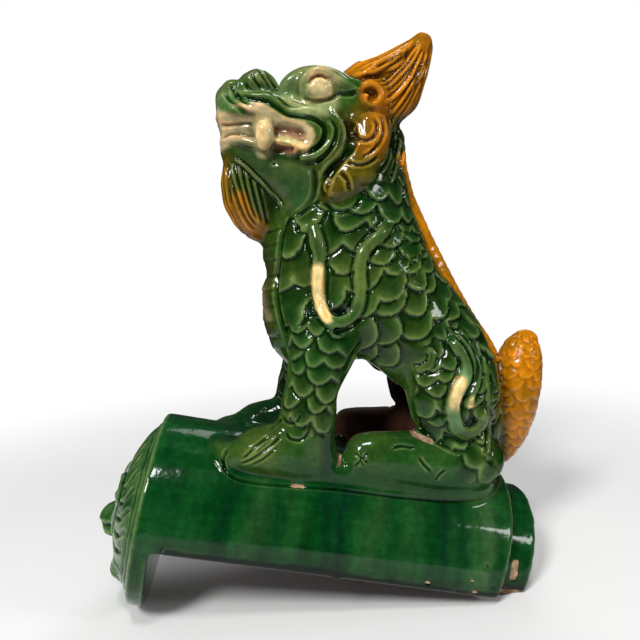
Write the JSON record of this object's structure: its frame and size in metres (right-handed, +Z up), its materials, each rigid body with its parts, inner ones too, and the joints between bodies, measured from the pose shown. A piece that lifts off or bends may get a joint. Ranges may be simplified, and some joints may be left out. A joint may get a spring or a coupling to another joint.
{
  "type": "ridge beast ornament",
  "caption": "Glazed half-round roof tile with a round relief end, a rear tenon and a scaled lion-dragon seated on a plate on top, for the ridge of a roof.",
  "frame": {"origin": "centre of the bounding box's bottom face, on the surface that the piece rests on", "axes": "+Z up, +X to the rear (from the round end to the tenon), +Y to the beast's right"},
  "size_m": [0.333, 0.132, 0.3916],
  "materials": {
    "glaze": "glossy green, amber and cream lead glaze over brown terracotta, worn and chipped to the clay in places"
  },
  "bodies": {
    "root": {"ridge_beast_tile": "glaze"}
  },
  "joints": []
}
